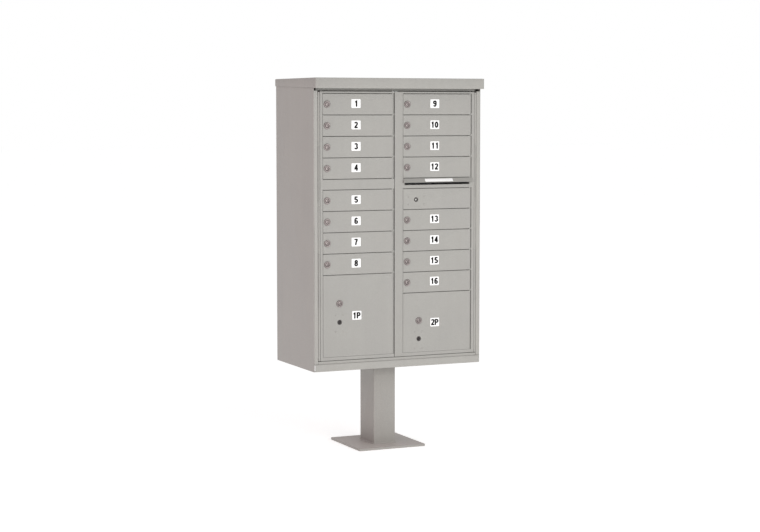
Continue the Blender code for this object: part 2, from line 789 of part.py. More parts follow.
def doors_and_locks(paint, nickel, masters):
    """Sixteen tenant doors and two parcel doors on the eyes' rods, each with its own locks."""
    tenant_z = ROW_PITCH / 2
    tenant = door_mesh(
        "tenant_door", 0, ROW_PITCH, [(LOCK_X, tenant_z, PLUG_BORE, BARREL_RADIUS, BARREL_BACK)]
    )
    tenant_lock = plug_mesh("tenant_lock", -PLUG_PROUD, TENANT_CAM, BARREL_BACK, 0)
    upper_lock = plug_mesh("parcel_lock", -PLUG_PROUD, PARCEL_CAM, BARREL_BACK, 180)
    lower_lock = plug_mesh("carrier_lock", DOOR_SHEET, CARRIER_CAM, DEEP_BARREL_BACK, 180)
    for column, kind, number, low, high in cells():
        left = DOOR_LEFT[column]
        hinge = (left + EYE_X, EYE_Y, low)
        if kind == "tenant":
            door = place(f"tenant_door_{number:02d}", tenant, paint, masters[column], hinge)
            spot = (left + LOCK_X, 0, low + tenant_z)
            place(f"tenant_lock_{number:02d}", tenant_lock, nickel, door, spot)
        elif kind == "parcel":
            upper, lower = PARCEL_LOCKS_Z[number]
            mesh = door_mesh(
                f"parcel_door_{number}",
                0,
                high - low,
                [
                    (PARCEL_LOCK_X, upper - low, PLUG_BORE, BARREL_RADIUS, BARREL_BACK),
                    (PARCEL_LOCK_X, lower - low, PLUG_BORE, BARREL_RADIUS, DEEP_BARREL_BACK),
                ],
            )
            door = place(f"parcel_door_{number}", mesh, paint, masters[column], hinge)
            x = left + PARCEL_LOCK_X
            place(f"parcel_lock_{number}_tenant", upper_lock, nickel, door, (x, 0, upper))
            place(f"parcel_lock_{number}_carrier", lower_lock, nickel, door, (x, 0, lower))


def outgoing_panel(paint, master):
    """The fixed panel over the outgoing mail, cut from the same rolled section as the doors."""
    low, high = LOWER_TOP - ROW_PITCH, LOWER_TOP
    lock = (ARROW_LOCK_X, ARROW_LOCK_Z - low, ARROW_BORE, ARROW_BARREL, ARROW_BARREL_BACK)
    data = door_mesh("outgoing_panel", 0, high - low, [lock])
    hinge = (DOOR_LEFT["right"] + EYE_X, EYE_Y, low)
    place("outgoing_panel", data, paint, master, hinge)


def slot_hood(paint, master):
    """A sloping hood with closed ends, open below, over the outgoing mail slot."""
    low, high = SLOT_HOOD_Z
    back = -TOUCH
    reach = -SLOT_HOOD_REACH
    outline = [(back, high), (reach, low), (back, low)]
    hood_mesh = bmesh.new()
    add_prism(hood_mesh, outline, *SLOT_HOOD_X, "X")
    inside = bmesh.new()
    slope = (high - low) / (SLOT_HOOD_REACH - TOUCH)
    drop = SLOT_HOOD_SHEET * slope
    beyond = SLOT_HOOD_REACH
    outline = [
        (back + beyond, high - drop + beyond * slope),
        (reach - beyond, low - drop - beyond * slope),
        (back + beyond, low - drop - beyond * slope),
    ]
    ends = (SLOT_HOOD_X[0] + SLOT_HOOD_SHEET, SLOT_HOOD_X[1] - SLOT_HOOD_SHEET)
    add_prism(inside, outline, *ends, "X")
    data = shaped("mail_slot_hood", hood_mesh, [("DIFFERENCE", inside)])
    shift_mesh(data, master["cabinet_place"])
    place("mail_slot_hood", data, paint, master, master["cabinet_place"])


def arrow_lock(steel, master):
    """The carrier's lock: its plug ends in a crank whose pin drives the latch bar."""
    plug = bmesh.new()
    end = ARROW_BARREL_BACK + CAM_GAP
    add_prism(plug, circle((0, 0), ARROW_RADIUS, LOCK_SIDES), 0, end + CRANK_SHEET / 2, "Y")
    offset = CRANK_ARM * sin(radians(45))
    reach = ARROW_RADIUS * 0.8
    across = reach * sin(radians(45))
    outline = [
        (-across, across),
        (across, -across),
        (offset + across, offset - across),
        (offset + across, offset + across * 0.6),
        (offset + across * 0.6, offset + across),
        (offset - across, offset + across),
    ]
    crank = bmesh.new()
    add_prism(crank, outline, end, end + CRANK_SHEET, "Y")
    pin = bmesh.new()
    add_prism(pin, circle((offset, offset), CRANK_PIN, 12), end + CRANK_SHEET / 2, BAR_Y[1] + 0.0012, "Y")
    data = shaped("arrow_lock", plug, [("UNION", crank), ("UNION", pin)])
    place("arrow_lock", data, steel, master, (DOOR_LEFT["right"] + ARROW_LOCK_X, 0, ARROW_LOCK_Z))


def latch_bar(steel, master):
    """The bar that the crank slides behind the centre post. Its upright slot takes the crank pin."""
    offset = CRANK_ARM * sin(radians(45))
    pin_x = DOOR_LEFT["right"] + ARROW_LOCK_X + offset
    half_slot = CRANK_PIN + BAR_CLEARANCE
    bar = bmesh.new()
    add_box(bar, (0, 0, 0), (BAR_END - BAR_TIP, BAR_Y[1] - BAR_Y[0], BAR_Z[1] - BAR_Z[0]))
    slot = bmesh.new()
    add_box(
        slot,
        (pin_x - BAR_TIP - half_slot, -half_slot, ARROW_LOCK_Z + offset - half_slot - BAR_Z[0]),
        (pin_x - BAR_TIP + half_slot, half_slot, ARROW_LOCK_Z + CRANK_ARM + half_slot - BAR_Z[0]),
    )
    data = shaped("latch_bar", bar, [("DIFFERENCE", slot)])
    place("latch_bar", data, steel, master, (BAR_TIP, BAR_Y[0], BAR_Z[0]))


def turn_latch(steel, master):
    """The turn latch that holds the left master door to the centre post."""
    boss = bmesh.new()
    start = MASTER_DEPTH + TOUCH
    add_prism(boss, circle((0, 0), TURN_LATCH_RADIUS, LOCK_SIDES), start, BAR_Y[0], "Y")
    arm = bmesh.new()
    ends = arc((0, 0), TURN_LATCH_RADIUS, 0, 180, 4)
    tip = TURN_LATCH_LENGTH - TURN_LATCH_RADIUS
    outline = [(x, -tip - y) for x, y in ends] + [(x, y) for x, y in ends[::-1]]
    add_prism(arm, outline, BAR_Y[0] - 0.0012, BAR_Y[1] - 0.0012, "Y")
    data = shaped("turn_latch", boss, [("UNION", arm)])
    place("turn_latch", data, steel, master, (TURN_LATCH_X, 0, TURN_LATCH_Z))


def main():
    for obj in list(bpy.data.objects):
        bpy.data.objects.remove(obj)
    body_paint = principled("body_paint", (0.46, 0.45, 0.43), 0.55, 0.0)
    door_paint = principled("door_paint", (0.48, 0.47, 0.45), 0.5, 0.0)
    zinc = principled("zinc_sheet", (0.55, 0.56, 0.57), 0.4, 0.9)
    steel = principled("hinge_steel", (0.6, 0.6, 0.58), 0.35, 1.0)
    nickel = principled("lock_nickel", (0.7, 0.66, 0.64), 0.25, 1.0)

    cabinet = pivot("cabinet_corner", (0, 0, 0))
    cabinet.location = CORNER
    masters = {
        "left": pivot("master_axis_left", (KNUCKLE_X, KNUCKLE_Y, 0), cabinet),
        "right": pivot("master_axis_right", (BODY_WIDTH - KNUCKLE_X, KNUCKLE_Y, 0), cabinet),
    }
    pedestal(body_paint)
    bottom_pan(body_paint, cabinet)
    side_panels(body_paint, cabinet)
    back_and_top(body_paint, cabinet)
    hood(body_paint, cabinet)
    racks(zinc, cabinet)
    centre_post(zinc, cabinet)
    for side, axis in masters.items():
        master_frame(side, door_paint, axis)
    rods(steel, cabinet, masters)
    doors_and_locks(door_paint, nickel, masters)
    outgoing_panel(door_paint, masters["right"])
    slot_hood(door_paint, masters["right"])
    arrow_lock(steel, masters["right"])
    latch_bar(steel, masters["right"])
    turn_latch(steel, masters["left"])


main()
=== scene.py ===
"""Looks for the pedestal cluster mailbox unit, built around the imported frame. Lengths are in metres."""

import json
import math

import bmesh
import bpy
from mathutils import Matrix, Vector


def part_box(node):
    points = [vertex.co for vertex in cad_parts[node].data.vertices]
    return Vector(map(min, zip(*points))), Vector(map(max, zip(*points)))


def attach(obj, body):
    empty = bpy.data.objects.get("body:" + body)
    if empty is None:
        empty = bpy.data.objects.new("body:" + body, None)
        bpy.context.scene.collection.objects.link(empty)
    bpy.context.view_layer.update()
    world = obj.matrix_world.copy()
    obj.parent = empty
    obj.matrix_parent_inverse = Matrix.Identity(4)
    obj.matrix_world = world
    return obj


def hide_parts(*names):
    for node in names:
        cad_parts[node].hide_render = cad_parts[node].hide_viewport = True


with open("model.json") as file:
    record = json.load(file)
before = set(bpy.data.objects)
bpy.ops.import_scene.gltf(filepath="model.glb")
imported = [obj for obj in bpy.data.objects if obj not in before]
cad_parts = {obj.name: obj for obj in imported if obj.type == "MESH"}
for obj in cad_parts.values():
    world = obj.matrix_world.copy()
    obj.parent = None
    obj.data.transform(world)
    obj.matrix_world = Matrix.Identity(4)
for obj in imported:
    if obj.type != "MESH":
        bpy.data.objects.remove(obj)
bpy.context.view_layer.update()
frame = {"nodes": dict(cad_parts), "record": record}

# Where the cabinet stands. Its own frame starts at the left end of its front plane, at its underside.
HOOD_OVERHANG = 0.0294
CORNER = Vector(
    (
        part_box("side_panel_left")[0].x,
        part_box("hood")[0].y + HOOD_OVERHANG,
        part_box("side_panel_left")[0].z,
    )
)
COLUMN_OF = {n: "left" if n <= 8 else "right" for n in range(1, 17)}

# Camera, in the cabinet's frame.
CAMERA_AT = Vector((-2.8578, -6.9587, 1.0841))
CAMERA_HEADING = math.radians(-24.418)
CAMERA_PITCH = math.radians(-4.864)
CAMERA_LENS = 86.35

# Paint and metal.
BODY_GREY = (0.356, 0.349, 0.328)
DOOR_GREY = (0.330, 0.324, 0.306)
# The pedestal's grey is darker than the body's: partly the paint's own tone, partly painted shade for the
# cabinet's shadow on the column.
PEDESTAL_GREY_WITH_SHADE = (0.335, 0.322, 0.302)
# A lighter pinkish colour for the pedestal's upward faces: painted light on its lit tops.
PAINTED_TOP_LIGHT = (0.530, 0.490, 0.470)
GRIME = 0.8

# Pedestal. The column is measured from its middle.
COLUMN_HALF = (0.0508, 0.073)
COLUMN_CORNER = 0.005
TOP_PLATE = 0.0063
BOLT_SPREAD = 0.098
WELD_SIZE = 0.0042
WELD_STEP = 0.0022

# Locks. Depths run back from the door's face.
DOOR_SHEET = 0.0025
BARREL_RADIUS = 0.010
FACE_RADIUS = 0.0147
PLUG_RADIUS = 0.0074
PLUG_PROUD = 0.0026
SUNK_FRONT = 0.0029
SUNK_COLLAR = 0.0104
# The keyway's width, height and depth.
KEYWAY = (0.0019, 0.0082, 0.0045)
CAM_SHEET = 0.0025
CAM_HALF_WIDTH = 0.006
CAM_GAP = 0.0004
NUT_ACROSS = 0.0238
SCREW_ACROSS = 0.0078
WASHER_RADIUS = 0.0050
ROUND_STEPS = 40
# Each kind's front, cam length, cam depth, and whether the cam stands above the plug.
LOCK_KINDS = {
    "tenant": (-PLUG_PROUD, 0.025, 0.0165 + CAM_GAP, False),
    "parcel": (-PLUG_PROUD, 0.080, 0.0165 + CAM_GAP, True),
    "carrier": (SUNK_FRONT, 0.076, 0.021 + CAM_GAP, True),
}
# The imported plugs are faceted, so their boxes reach this share of the radius below their axes.
FACET_REACH = math.cos(math.pi / 12)
PACKED_PLUG_REACH = 0.0075 * FACET_REACH

# The carrier's master lock, with its crank and pin.
ARROW_COLLAR = 0.0098
ARROW_PLUG_RADIUS = 0.0078
CRANK_DEPTH = 0.0204
CRANK_SHEET = 0.0024
CRANK_REACH = 0.0127
PIN_RADIUS = 0.003
PIN_END = 0.0272

# Labels.
LABEL_SIZE = (0.0415, 0.0365)
LABEL_THICKNESS = 0.0005
LABEL_GAP = 0.00005
LABEL_RADIUS = 0.0022
NUMERAL_HEIGHT = 0.0262
NUMERAL_THICKNESS = 0.00025
NUMERAL_WEIGHT = 0.235
NUMERAL_PITCH = 0.70
NUMERAL_STRETCH = 1.13
# Label centres from each tenant door's left edge and middle height.
TENANT_LABEL = {"left": (0.150, 0.0028), "right": (0.148, 0.0028)}
# Parcel label centres, in the cabinet's frame.
PARCEL_LABEL = {1: (0.1946, 0.2302), 2: (0.5582, 0.1844)}
# The blank strip on the mail slot's hood: its width, its middle's x, and how much of the slope it
# covers and how far up it lies, as shares.
STRIP_WIDTH = 0.131
STRIP_MIDDLE = 0.5735
STRIP_SHARE = 0.66
STRIP_PLACE = 0.53

# Fasteners. Painted screws stand where their columns and rows cross, in the cabinet's frame.
SCREW_GROUPS = {
    "parcel_door_1": ((0.0996, 0.1335), (0.2346, 0.1638)),
    "parcel_door_2": ((0.4637, 0.4972), (0.1465, 0.0742)),
    "right_master": ((0.434, 0.507), (0.7225, 0.6900)),
}
RIVET_COUNT = 6
RIVET_INSET = 0.0095
RIVET_LOWEST = 0.055
RIVET_MARGINS = 0.14

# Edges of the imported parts: softened widths, and the turns between two faces in degrees.
LONG_EDGE = 0.009
FOLD_TURN = 50
CRISP_TURN = 30
EDGE = {
    "hood": 0.0009,
    "base_plate": 0.0010,
    "pedestal_column": 0.0008,
    "side_panel_left": 0.0005,
    "side_panel_right": 0.0005,
    "rack_left": 0.0003,
    "rack_right": 0.0003,
}
OTHER_EDGE = 0.0006

FLOOR_REACH = 60
SQUARE = ((-1, -1), (1, -1), (1, 1), (-1, 1))

# Sockets of a colour mix node.
FACTOR, FIRST, SECOND, RESULT = 0, 6, 7, 2


def spot(x, y, z):
    """A point of the cabinet's frame in the row frame."""
    return CORNER + Vector((x, y, z))


# ---------------------------------------------------------------- materials
class Tree:
    """A material's node tree with short calls for adding and joining nodes."""

    def __init__(self, name):
        self.material = bpy.data.materials.new(name)
        self.material.use_nodes = True
        self.nodes = self.material.node_tree.nodes
        self.links = self.material.node_tree.links
        self.shader = self.nodes["Principled BSDF"]
        self.coords = self.nodes.new("ShaderNodeTexCoord").outputs["Object"]

    def stretched(self, scale):
        node = self.nodes.new("ShaderNodeMapping")
        node.inputs["Scale"].default_value = scale
        self.links.new(self.coords, node.inputs["Vector"])
        return node.outputs["Vector"]

    def noise(self, scale, detail=2.0, roughness=0.5, vector=None):
        node = self.nodes.new("ShaderNodeTexNoise")
        node.inputs["Scale"].default_value = scale
        node.inputs["Detail"].default_value = detail
        node.inputs["Roughness"].default_value = roughness
        self.links.new(vector or self.coords, node.inputs["Vector"])
        return node.outputs["Fac"]

    def remap(self, value, low, high, start=0.3, stop=0.7):
        node = self.nodes.new("ShaderNodeMapRange")
        node.inputs["From Min"].default_value = start
        node.inputs["From Max"].default_value = stop
        node.inputs["To Min"].default_value = low
        node.inputs["To Max"].default_value = high
        self.links.new(value, node.inputs["Value"])
        return node.outputs["Result"]

    def ramp(self, value, stops):
        node = self.nodes.new("ShaderNodeValToRGB")
        elements = node.color_ramp.elements
        while len(elements) < len(stops):
            elements.new(0.5)
        for element, (place, colour) in zip(elements, stops):
            element.position = place
            element.color = (*colour, 1)
        self.links.new(value, node.inputs["Fac"])
        return node.outputs["Color"]

    def multiply(self, first, second):
        node = self.nodes.new("ShaderNodeMix")
        node.data_type = "RGBA"
        node.blend_type = "MULTIPLY"
        node.inputs[FACTOR].default_value = 1.0
        self.links.new(first, node.inputs[FIRST])
        self.links.new(second, node.inputs[SECOND])
        return node.outputs[RESULT]

    def settled(self, colour, top_light):
        """The colour with painted light on the faces that look up: a lighter colour mixed in as a face
        turns upward.
        """
        apart = self.nodes.new("ShaderNodeSeparateXYZ")
        geometry = self.nodes.new("ShaderNodeNewGeometry")
        self.links.new(geometry.outputs["Normal"], apart.inputs["Vector"])
        # The share of painted light grows as a face turns upward.
        film = self.remap(apart.outputs["Z"], 0.0, 0.9, 0.7, 0.95)
        node = self.nodes.new("ShaderNodeMix")
        node.data_type = "RGBA"
        self.links.new(film, node.inputs[FACTOR])
        self.links.new(colour, node.inputs[FIRST])
        node.inputs[SECOND].default_value = (*top_light, 1)
        return node.outputs[RESULT]

    def bump(self, value, strength, distance, after=None):
        node = self.nodes.new("ShaderNodeBump")
        node.inputs["Strength"].default_value = strength
        node.inputs["Distance"].default_value = distance
        self.links.new(value, node.inputs["Height"])
        if after:
            self.links.new(after, node.inputs["Normal"])
        return node.outputs["Normal"]

    def finish(self, colour, roughness, normal, metallic=0.0, specular=0.5):
        self.links.new(colour, self.shader.inputs["Base Color"])
        self.links.new(roughness, self.shader.inputs["Roughness"])
        self.links.new(normal, self.shader.inputs["Normal"])
        self.shader.inputs["Metallic"].default_value = metallic
        self.shader.inputs["Specular IOR Level"].default_value = specular
        return self.material


def shades(colour, *factors):
    return [tuple(min(1.0, c * f) for c in colour) for f in factors]


def powder_coat(name, colour, grain=0.05, top_light=None):
    """Powder coat: close speckle, orange peel, faint clouding and rain streaks, and painted light on
    upward faces if a top light colour is given.
    """
    tree = Tree(name)
    low, mid, high = shades(colour, 1 - grain, 1.0, 1 + grain)
    speckle = tree.ramp(tree.noise(430, 3, 0.6), [(0.34, low), (0.5, mid), (0.66, high)])
    cloud = tree.ramp(
        tree.noise(7, 3, 0.5), [(0.35, (0.972, 0.972, 0.976)), (0.65, (1.0, 1.0, 0.997))]
    )
    streak = tree.noise(1.0, 3, 0.55, tree.stretched((42, 42, 2.2)))
    streaks = tree.ramp(streak, [(0.35, (0.986, 0.984, 0.98)), (0.6, (1, 1, 1))])
    mixed = tree.multiply(tree.multiply(speckle, cloud), streaks)
    if top_light:
        # Upward faces take a lighter colour: painted light on the lit tops.
        mixed = tree.settled(mixed, top_light)
    roughness = tree.remap(tree.noise(160, 3), 0.44, 0.58)
    peel = tree.bump(tree.noise(900, 2), 0.22, 0.0005)
    normal = tree.bump(tree.noise(210, 2), 0.10, 0.0008, peel)
    return tree.finish(mixed, roughness, normal, 0.0, 0.42)


def brushed_metal(name, colour, rough, stretch):
    """Metal with fine directional scratches and a thin film of grime."""
    tree = Tree(name)
    lines = tree.noise(1.0, 4, 0.7, tree.stretched(stretch))
    base = tree.ramp(lines, [(0.3, shades(colour, 0.86)[0]), (0.7, shades(colour, 1.05)[0])])
    film = tree.ramp(tree.noise(60, 4, 0.6), [(0.35, (GRIME, GRIME, GRIME)), (0.62, (1, 1, 1))])
    roughness = tree.remap(lines, rough * 0.75, rough * 1.3)
    normal = tree.bump(lines, 0.12, 0.0002)
    return tree.finish(tree.multiply(base, film), roughness, normal, 1.0)


def plain_plastic(name, colour, low, high, speck=0.03, specular=0.5):
    """Smooth plastic or ink with faint mottling and a finely uneven gloss."""
    tree = Tree(name)
    dark, light = shades(colour, 1 - speck, 1.0)
    base = tree.ramp(tree.noise(240, 3), [(0.35, dark), (0.65, light)])
    roughness = tree.remap(tree.noise(120, 3), low, high)
    normal = tree.bump(tree.noise(500, 2), 0.05, 0.0003)
    return tree.finish(base, roughness, normal, 0.0, specular)


def make_materials():
    """Every slot's finish."""
    nickel, zinc = (0.260, 0.228, 0.224), (0.56, 0.55, 0.53)
    # The near-black keyhole colour is painted shade, for the dark of keyways and sunk keyholes.
    ink, shadow = (0.008, 0.008, 0.008), (0.030, 0.024, 0.024)
    return {
        "body_paint": powder_coat("grey_body_coat", BODY_GREY),
        "door_paint": powder_coat("grey_door_coat", DOOR_GREY),
        # The pedestal's coat carries painted shade in its darker grey and painted light on its upward
        # faces.
        "pedestal_paint": powder_coat("grey_pedestal_coat", PEDESTAL_GREY_WITH_SHADE, 0.07, PAINTED_TOP_LIGHT),
        "rack_sheet": brushed_metal("mill_finish_sheet", (0.66, 0.67, 0.68), 0.38, (6, 260, 260)),
        "hinge_steel": brushed_metal("hinge_rod_steel", (0.60, 0.59, 0.57), 0.32, (300, 300, 12)),
        "latch_steel": brushed_metal("zinc_plated_steel", (0.52, 0.52, 0.50), 0.42, (90, 90, 90)),
        "lock_nickel": brushed_metal("satin_nickel", nickel, 0.34, (420, 420, 420)),
        "fastener_steel": brushed_metal("plated_fastener", zinc, 0.36, (320, 320, 320)),
        "label_white": plain_plastic("label_plate_white", (0.93, 0.93, 0.93), 0.35, 0.5),
        "number_black": plain_plastic("label_ink_black", ink, 0.6, 0.75, 0.2, 0.12),
        "keyhole_dark": plain_plastic("keyhole_shadow", shadow, 0.5, 0.7, 0.25),
    }


# ---------------------------------------------------------------- mesh helpers
def link(name, data, paints, slot, body, sharp=35):
    """An object in the row frame that rides on a body and takes a slot's finish."""
    obj = bpy.data.objects.new(name, data)
    bpy.context.scene.collection.objects.link(obj)
    data.materials.clear()
    data.materials.append(paints[slot])
    data.shade_smooth()
    data.set_sharp_from_angle(angle=math.radians(sharp))
    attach(obj, body)
    return obj


def to_data(name, mesh):
    """Mesh data with joined corners and outward faces."""
    bmesh.ops.remove_doubles(mesh, verts=mesh.verts, dist=1e-7)
    bmesh.ops.recalc_face_normals(mesh, faces=mesh.faces)
    data = bpy.data.meshes.new(name)
    mesh.to_mesh(data)
    mesh.free()
    return data


def lathe(profile, steps=ROUND_STEPS, closed=False):
    """A turned mesh about +Y from pairs of radius and y. An open profile starts and ends on the axis."""
    mesh = bmesh.new()
    turn = [2 * math.pi * i / steps for i in range(steps)]
    rings = []
    for radius, y in profile:
        if radius == 0:
            rings.append([mesh.verts.new((0, y, 0))])
        else:
            rings.append(
                [mesh.verts.new((radius * math.cos(a), y, radius * math.sin(a))) for a in turn]
            )
    pairs = list(zip(rings, rings[1:]))
    if closed:
        pairs.append((rings[-1], rings[0]))
    for near, far in pairs:
        for i in range(steps):
            j = (i + 1) % steps
            sides = ((near, i), (near, j), (far, j), (far, i))
            corners = [ring[k % len(ring)] for ring, k in sides]
            mesh.faces.new(list(dict.fromkeys(corners)))
    return mesh


def prism(outline, low, high, edge=0.0):
    """A plate with an outline in x and z, from one y to another. The front edge may be rounded."""
    mesh = bmesh.new()
    near = [mesh.verts.new((x, low, z)) for x, z in outline]
    far = [mesh.verts.new((x, high, z)) for x, z in outline]
    front = mesh.faces.new(near)
    mesh.faces.new(far[::-1])
    for i in range(len(near)):
        j = (i + 1) % len(near)
        mesh.faces.new((near[i], far[i], far[j], near[j]))
    bmesh.ops.recalc_face_normals(mesh, faces=mesh.faces)
    if edge:
        bmesh.ops.bevel(
            mesh, geom=list(front.edges), offset=edge, segments=2, profile=0.5, affect="EDGES"
        )
    return mesh


def rounded_outline(width, height, radius, steps=5):
    """The points of a rectangle with rounded corners, centred on the origin."""
    points = []
    for sign_x, sign_z, start in ((1, 1, 0), (-1, 1, 90), (-1, -1, 180), (1, -1, 270)):
        for i in range(steps + 1):
            a = math.radians(start + 90 * i / steps)
            x = sign_x * (width / 2 - radius) + radius * math.cos(a)
            z = sign_z * (height / 2 - radius) + radius * math.sin(a)
            points.append((x, z))
    return points


def hexagon(across, turn=0.0):
    """A hexagon's corners from its width across flats, turned by some degrees."""
    radius = across / math.sqrt(3)
    angles = [math.radians(turn + 60 * i) for i in range(6)]
    return [(radius * math.cos(a), radius * math.sin(a)) for a in angles]


def carved(name, mesh, tools):
    """The mesh joined with or cut by each tool in turn, as new mesh data."""
    body = bpy.data.objects.new(name + "_blank", to_data(name + "_blank", mesh))
    bpy.context.scene.collection.objects.link(body)
    extras = []
    for operation, tool in tools:
        other = bpy.data.objects.new(name + "_tool", to_data(name + "_tool", tool))
        bpy.context.scene.collection.objects.link(other)
        modifier = body.modifiers.new(operation, "BOOLEAN")
        modifier.operation = operation
        modifier.solver = "EXACT"
        modifier.object = other
        extras.append(other)
    bpy.context.view_layer.update()
    seen = body.evaluated_get(bpy.context.evaluated_depsgraph_get())
    data = bpy.data.meshes.new_from_object(seen)
    data.name = name
    for extra in [body, *extras]:
        bpy.data.objects.remove(extra)
    return data


def at(data, name, place, turn=None):
    """A copy of mesh data, turned and then moved to a place in the row frame."""
    copy = data.copy()
    copy.name = name
    copy.transform(Matrix.Translation(place) @ (turn or Matrix.Identity(4)))
    return copy


# ---------------------------------------------------------------- locks
def core_data(name, front, cam_length, end, cam_up):
    """A lock's plug with its keyway and the cam behind it."""
    plug = lathe(
        [
            (0, front),
            (PLUG_RADIUS - 0.0009, front),
            (PLUG_RADIUS - 0.0003, front + 0.0003),
            (PLUG_RADIUS, front + 0.0009),
            (PLUG_RADIUS, end + CAM_SHEET / 2),
            (0, end + CAM_SHEET / 2),
        ]
    )
    width, height, depth = KEYWAY
    keyway = prism(rounded_outline(width, height, width * 0.3, 2), front - depth, front + depth)
    notch = [(0, 0.0012), (0.0022, 0.0012), (0.0022, 0.0024), (0, 0.0024)]
    ward = prism(notch, front - depth, front + depth / 2)
    side = 1 if cam_up else -1
    tip = cam_length - CAM_HALF_WIDTH
    steps = 10
    angles = [math.pi * i / steps for i in range(steps + 1)]
    ends = [(CAM_HALF_WIDTH * math.cos(a), CAM_HALF_WIDTH * math.sin(a)) for a in angles]
    outline = [(x, side * (tip + z)) for x, z in ends] + [(x, -side * z) for x, z in ends[::-1]]
    cam = prism(outline, end, end + CAM_SHEET, 0.0004)
    return carved(name, plug, [("DIFFERENCE", keyway), ("DIFFERENCE", ward), ("UNION", cam)])


def face_data(name, inner):
    """The lock's round face on the door: a stepped ring with a rolled rim."""
    profile = [
        (inner, 0.0009),
        (inner, -0.0019),
        (inner + 0.0005, -0.0024),
        (inner + 0.0014, -0.0026),
        (inner + 0.0019, -0.0032),
        (FACE_RADIUS - 0.0020, -0.0034),
        (FACE_RADIUS - 0.0009, -0.0029),
        (FACE_RADIUS - 0.0002, -0.0018),
        (FACE_RADIUS, -0.0007),
        (FACE_RADIUS, -0.0001),
        (inner + 0.0003, -0.0001),
        (inner + 0.0003, 0.0009),
    ]
    return to_data(name, lathe(profile, closed=True))


def nut_data(name):
    """The hexagon nut on the lock's barrel, behind the door."""
    outer = prism(hexagon(NUT_ACROSS, 30), DOOR_SHEET + 0.0003, DOOR_SHEET + 0.0034, 0.0003)
    radius = BARREL_RADIUS + 0.0002
    bore = lathe([(0, 0), (radius, 0), (radius, 0.02), (0, 0.02)])
    return carved(name, outer, [("DIFFERENCE", bore)])


def screw_data(name, end):
    """The screw that holds a cam to its plug, with its washer."""
    back = end + CAM_SHEET
    head = prism(hexagon(SCREW_ACROSS), back + 0.0001, back + 0.0026, 0.0003)
    near, far = back + 0.00005, back + 0.0007
    washer = lathe([(0, near), (WASHER_RADIUS, near), (WASHER_RADIUS, far), (0, far)], 24)
    return carved(name, head, [("UNION", washer)])


def lock_centre(node, cam_length, cam_up):
    """A lock's axis from its node's box: the cam hangs below it or stands above it."""
    low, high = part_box(node)
    x = (low.x + high.x) / 2
    z = low.z + (PACKED_PLUG_REACH if cam_up else cam_length)
    return Vector((x, CORNER.y, z))


def collar_data(name):
    """The ring round a carrier's keyhole, near-black as painted shade. Its lock sits sunk behind the
    door's face.
    """
    inner = PLUG_RADIUS + 0.0006
    profile = [
        (inner, 0.0012),
        (inner, -0.0001),
        (inner + 0.0004, -0.0005),
        (SUNK_COLLAR - 0.0006, -0.0005),
        (SUNK_COLLAR, -0.0001),
        (inner + 0.0008, -0.0001),
        (inner + 0.0004, 0.0012),
    ]
    return to_data(name, lathe(profile, closed=True))


def keyhole_data(kind, front):
    """Near-black painted shade on the floor of a keyway, or on a carrier's whole plug face with its slit.
    """
    width, height, depth = KEYWAY
    slit = rounded_outline(width * 0.96, height * 0.98, width * 0.28, 2)
    if kind != "carrier":
        floor = front + depth
        return to_data("keyway_floor", prism(slit, floor - 0.0034, floor - 0.0001))
    radius = PLUG_RADIUS - 0.0005
    disc = lathe([(0, front - 0.0004), (radius, front - 0.0004), (radius, front), (0, front)])
    slot = prism(slit, front - depth, front + depth)
    return carved("sunk_plug_face", disc, [("DIFFERENCE", slot)])


def add_lock(kind, number, door_body, lock_body, node, centre, shapes, paints):
    """One lock: the plug and its cam and screw turn, and the face and the nut stay on the door."""
    tag = f"{kind}_{number}"
    name = f"lock_core_{tag}"
    core = link(name, at(shapes["core"], name, centre), paints, "lock_nickel", lock_body)
    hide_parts(node)
    for prefix, shape, slot, body, sharp in (
        ("lock_face", "face", shapes["face_slot"], door_body, 50),
        ("lock_nut", "nut", "fastener_steel", door_body, 35),
        ("cam_screw", "screw", "fastener_steel", lock_body, 35),
        ("keyway", "dark", "keyhole_dark", lock_body, 35),
    ):
        name = f"{prefix}_{tag}"
        link(name, at(shapes[shape], name, centre), paints, slot, body, sharp)


def locks(paints):
    """Sixteen tenant locks, and a tenant's and a carrier's lock on each parcel door."""
    face, nut = face_data("lock_face", PLUG_RADIUS + 0.0002), nut_data("lock_nut")
    shapes = {}
    for kind, (front, length, end, up) in LOCK_KINDS.items():
        sunk = kind == "carrier"
        shapes[kind] = {
            "dark": keyhole_data(kind, front),
            "core": core_data(f"{kind}_core", front, length, end, up),
            "face": collar_data("sunk_lock_collar") if sunk else face,
            "face_slot": "keyhole_dark" if sunk else "lock_nickel",
            "nut": nut,
            "screw": screw_data(f"{kind}_cam_screw", end),
        }

    def fit(kind, number, door_body, lock_body, node):
        _, length, _, up = LOCK_KINDS[kind]
        centre = lock_centre(node, length, up)
        add_lock(kind, number, door_body, lock_body, node, centre, shapes[kind], paints)

    for n in range(1, 17):
        fit("tenant", f"{n:02d}", f"door_{n:02d}", f"lock_{n:02d}", f"tenant_lock_{n:02d}")
    for n in (1, 2):
        for which, kind in (("tenant", "parcel"), ("carrier", "carrier")):
            node = f"parcel_lock_{n}_{which}"
            fit(kind, n, f"parcel_door_{n}", node, node)


# ---------------------------------------------------------------- labels
def bow(centre, radii, start, stop, steps=14):
    """Points along an elliptical arc, in degrees."""
    points = []
    for i in range(steps + 1):
        a = math.radians(start + (stop - start) * i / steps)
        points.append((centre[0] + radii[0] * math.cos(a), centre[1] + radii[1] * math.sin(a)))
    return points


